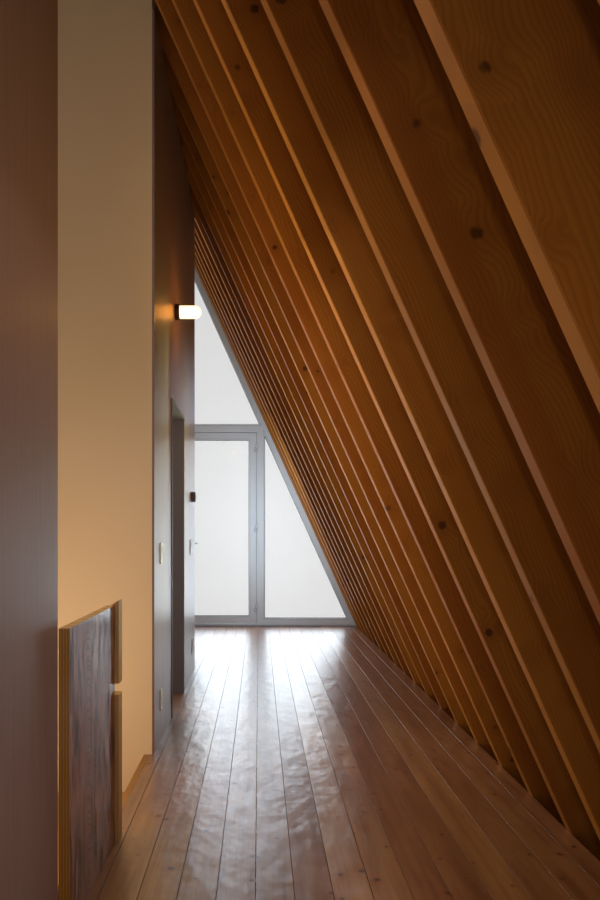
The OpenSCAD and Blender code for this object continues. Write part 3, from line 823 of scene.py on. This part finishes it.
def world():
    """Soft light all round, and plain white for what the camera, gloss and glass see."""
    made = bpy.data.worlds.new("studio")
    bpy.context.scene.world = made
    made.use_nodes = True
    g = Graph(made.node_tree)
    shown = g.add("LightPath").outputs
    seen = g.math("MAXIMUM", shown["Is Camera Ray"], shown["Is Glossy Ray"])
    seen = g.math("MAXIMUM", seen, shown["Is Transmission Ray"])
    back = made.node_tree.nodes["Background"]
    back.inputs["Color"].default_value = (1.0, 1.0, 1.0, 1.0)
    g.feed(back.inputs["Strength"], g.fade(seen, 0.0, 1.0, 0.07, 1.0))


def area(name, place, target, size, power, colour=(1.0, 1.0, 1.0), mirrored=False):
    """A rectangular lamp that the camera never shows, and gloss only where it is mirrored."""
    lamp = bpy.data.lights.new(name, "AREA")
    lamp.shape = "RECTANGLE"
    lamp.size, lamp.size_y = size
    lamp.energy = power
    lamp.color = colour
    made = bpy.data.objects.new(name, lamp)
    bpy.context.scene.collection.objects.link(made)
    made.location = place
    made.rotation_euler = (Vector(target) - Vector(place)).to_track_quat("-Z", "Y").to_euler()
    made.visible_camera = False
    made.visible_glossy = mirrored


def gable_lamps():
    """Daylight from outside the gable, and what it throws back onto the frames."""
    area("gable_daylight", (MID - 0.2, FAR + 1.2, FLOOR + 1.9), (MID - 0.2, GABLE - 3.0, FLOOR + 0.6),
         (3.2, 3.6), 75.0, DAYLIGHT)
    area("snow_light", (MID - 0.2, FAR + 1.0, FLOOR + 1.25), (MID - 0.2, GABLE - 3.0, FLOOR + 1.25),
         (3.2, 2.7), 110.0, DAYLIGHT, True)
    area("sky_light", (MID - 0.2, FAR + 1.0, FLOOR + 3.4), (MID - 0.2, GABLE - 3.0, FLOOR + 2.6),
         (3.2, 1.5), 36.0, (0.42, 0.64, 1.0), True)
    area("window_bounce", (PARTITION + 0.5, GABLE - 1.2, FLOOR + 1.3),
         (PARTITION + 0.6, GABLE, FLOOR + 1.5), (0.6, 1.4), 14.5, (0.76, 0.88, 1.0))


def stair_lamps():
    """Warm light over the stair, onto its white end wall."""
    area("stair_light", (PARTITION - 0.8, NEAR + 1.9, FLOOR + 0.4),
         (PARTITION - 0.3, NEAR + 3.4, FLOOR + 1.0), (0.8, 1.0), 15.6, WARM)
    area("wall_wash", (PARTITION - 0.5, NEAR + 1.0, FLOOR + 2.5),
         (PARTITION - 0.4, NEAR + 3.2, FLOOR + 2.6), (0.5, 1.4), 4.6, (1.0, 0.7, 0.4))


def slope_lamps():
    """Rows of lamps along the partition and the floor, onto the rafters' sides, edges and feet."""
    for k, power in enumerate((0.9, 8.0, 2.6, 0.4, 0.2)):
        y = NEAR + 0.9 + 1.3 * k
        area(f"gallery_fill_{k}", (PARTITION + 0.1, y, FLOOR + 1.7),
             (PARTITION + 1.1, y + 0.1, FLOOR + 1.9), (0.4, 1.6), power, ORANGE)
    for k, power in enumerate((5.0, 9.0, 9.4, 6.5, 4.5)):
        y = NEAR + 2.5 + 1.3 * k
        area(f"wall_bounce_{k}", (PARTITION + 0.24, y, FLOOR + 1.5),
             (PARTITION + 1.09, y - 2.1, FLOOR + 1.6), (0.4, 1.8), power, (0.78, 1.0, 0.12 + 0.15 * k))
    for k in range(5):
        y = NEAR + 0.9 + 1.4 * k
        area(f"floor_sheen_{k}", (MID - 0.2, y + 0.6, FLOOR + 0.12), (MID + 0.6, y + 1.2, FLOOR + 1.4),
             (0.6, 0.6), 1.8, (0.95, 0.95, 1.0))


def bounce_lamps():
    """What the rafters throw back onto the partition, the near wall and the stair."""
    x = slope_x(FLOOR + 1.9) - 0.35
    for name, y, length, power in (("near_bounce", NEAR + 1.1, 2.0, 2.1),
                                   ("far_bounce", NEAR + 5.4, 3.6, 4.0)):
        area(name, (x, y, FLOOR + 1.9), (PARTITION, y, FLOOR + 2.1), (length, 0.5), power, GOLDEN)
    area("foot_fill", (slope_x(FLOOR + 0.6) - 0.25, NEAR + 0.8, FLOOR + 0.6),
         (PARTITION - 0.3, NEAR + 0.8, FLOOR + 0.6), (0.8, 0.5), 3.8, (0.9, 0.86, 1.0))


def near_lamps():
    """Light on the floor, and a small and a broad lamp at the open end beside the camera."""
    area("floor_light", (PARTITION + 0.45, NEAR + 2.0, FLOOR + 2.2), (MID + 0.3, NEAR + 2.0, FLOOR),
         (3.0, 0.2), 5.5, (1.0, 0.92, 0.9))
    area("near_fill", (PARTITION + 0.69, RAFTER_LO.y - 0.73, FLOOR + 1.24),
         (PARTITION + 0.9, GABLE, FLOOR + 2.2), (0.04, 0.04), 2.85, (1.0, 0.84, 0.62))
    area("far_fill", (PARTITION + 0.3, RAFTER_LO.y - 4.0, FLOOR + 1.6), (MID, GABLE, FLOOR + 1.3),
         (2.2, 2.2), 6.0, (1.0, 0.86, 0.74))


def studio_lamps():
    """Soft lamps outside, for every other view of the part."""
    area("studio_key", (8.5, -0.8, 7.5), (0.0, 0.0, 2.0), (4.0, 5.0), 900.0, mirrored=True)
    area("studio_fill", (-8.0, 5.0, 5.0), (0.0, 1.0, 2.5), (5.0, 5.0), 450.0)
    area("studio_back", (6.0, 8.0, 6.0), (1.0, 0.0, 2.5), (5.0, 5.0), 350.0, mirrored=True)


def lamp_glow():
    """The wall lamp's own light, from the middle of its globe."""
    lo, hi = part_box("wall_lamp_globe")
    glow = bpy.data.lights.new("globe_glow", "POINT")
    glow.energy = 2.8
    glow.color = (1.0, 0.48, 0.12)
    glow.shadow_soft_size = 0.04
    made = bpy.data.objects.new("globe_glow", glow)
    bpy.context.scene.collection.objects.link(made)
    made.location = (lo + hi) / 2
    NODES["wall_lamp_globe"].visible_shadow = False


def camera():
    """The photo's view along the gallery."""
    lens = bpy.data.cameras.new("photo_view")
    lens.lens = LENS
    lens.sensor_width = 36.0
    lens.shift_x, lens.shift_y = SHIFT
    lens.clip_start = 0.05
    made = bpy.data.objects.new("photo_view", lens)
    bpy.context.scene.collection.objects.link(made)
    made.location = (PARTITION + EYE_FROM_PARTITION, RAFTER_LO.y - EYE_BEFORE_RAFTER, FLOOR + EYE_HEIGHT)
    made.rotation_euler = (math.radians(90), 0.0, 0.0)
    bpy.context.scene.camera = made


stage()
world()
gable_lamps()
stair_lamps()
slope_lamps()
bounce_lamps()
near_lamps()
studio_lamps()
lamp_glow()
camera()
bpy.context.scene.view_settings.view_transform = "Standard"
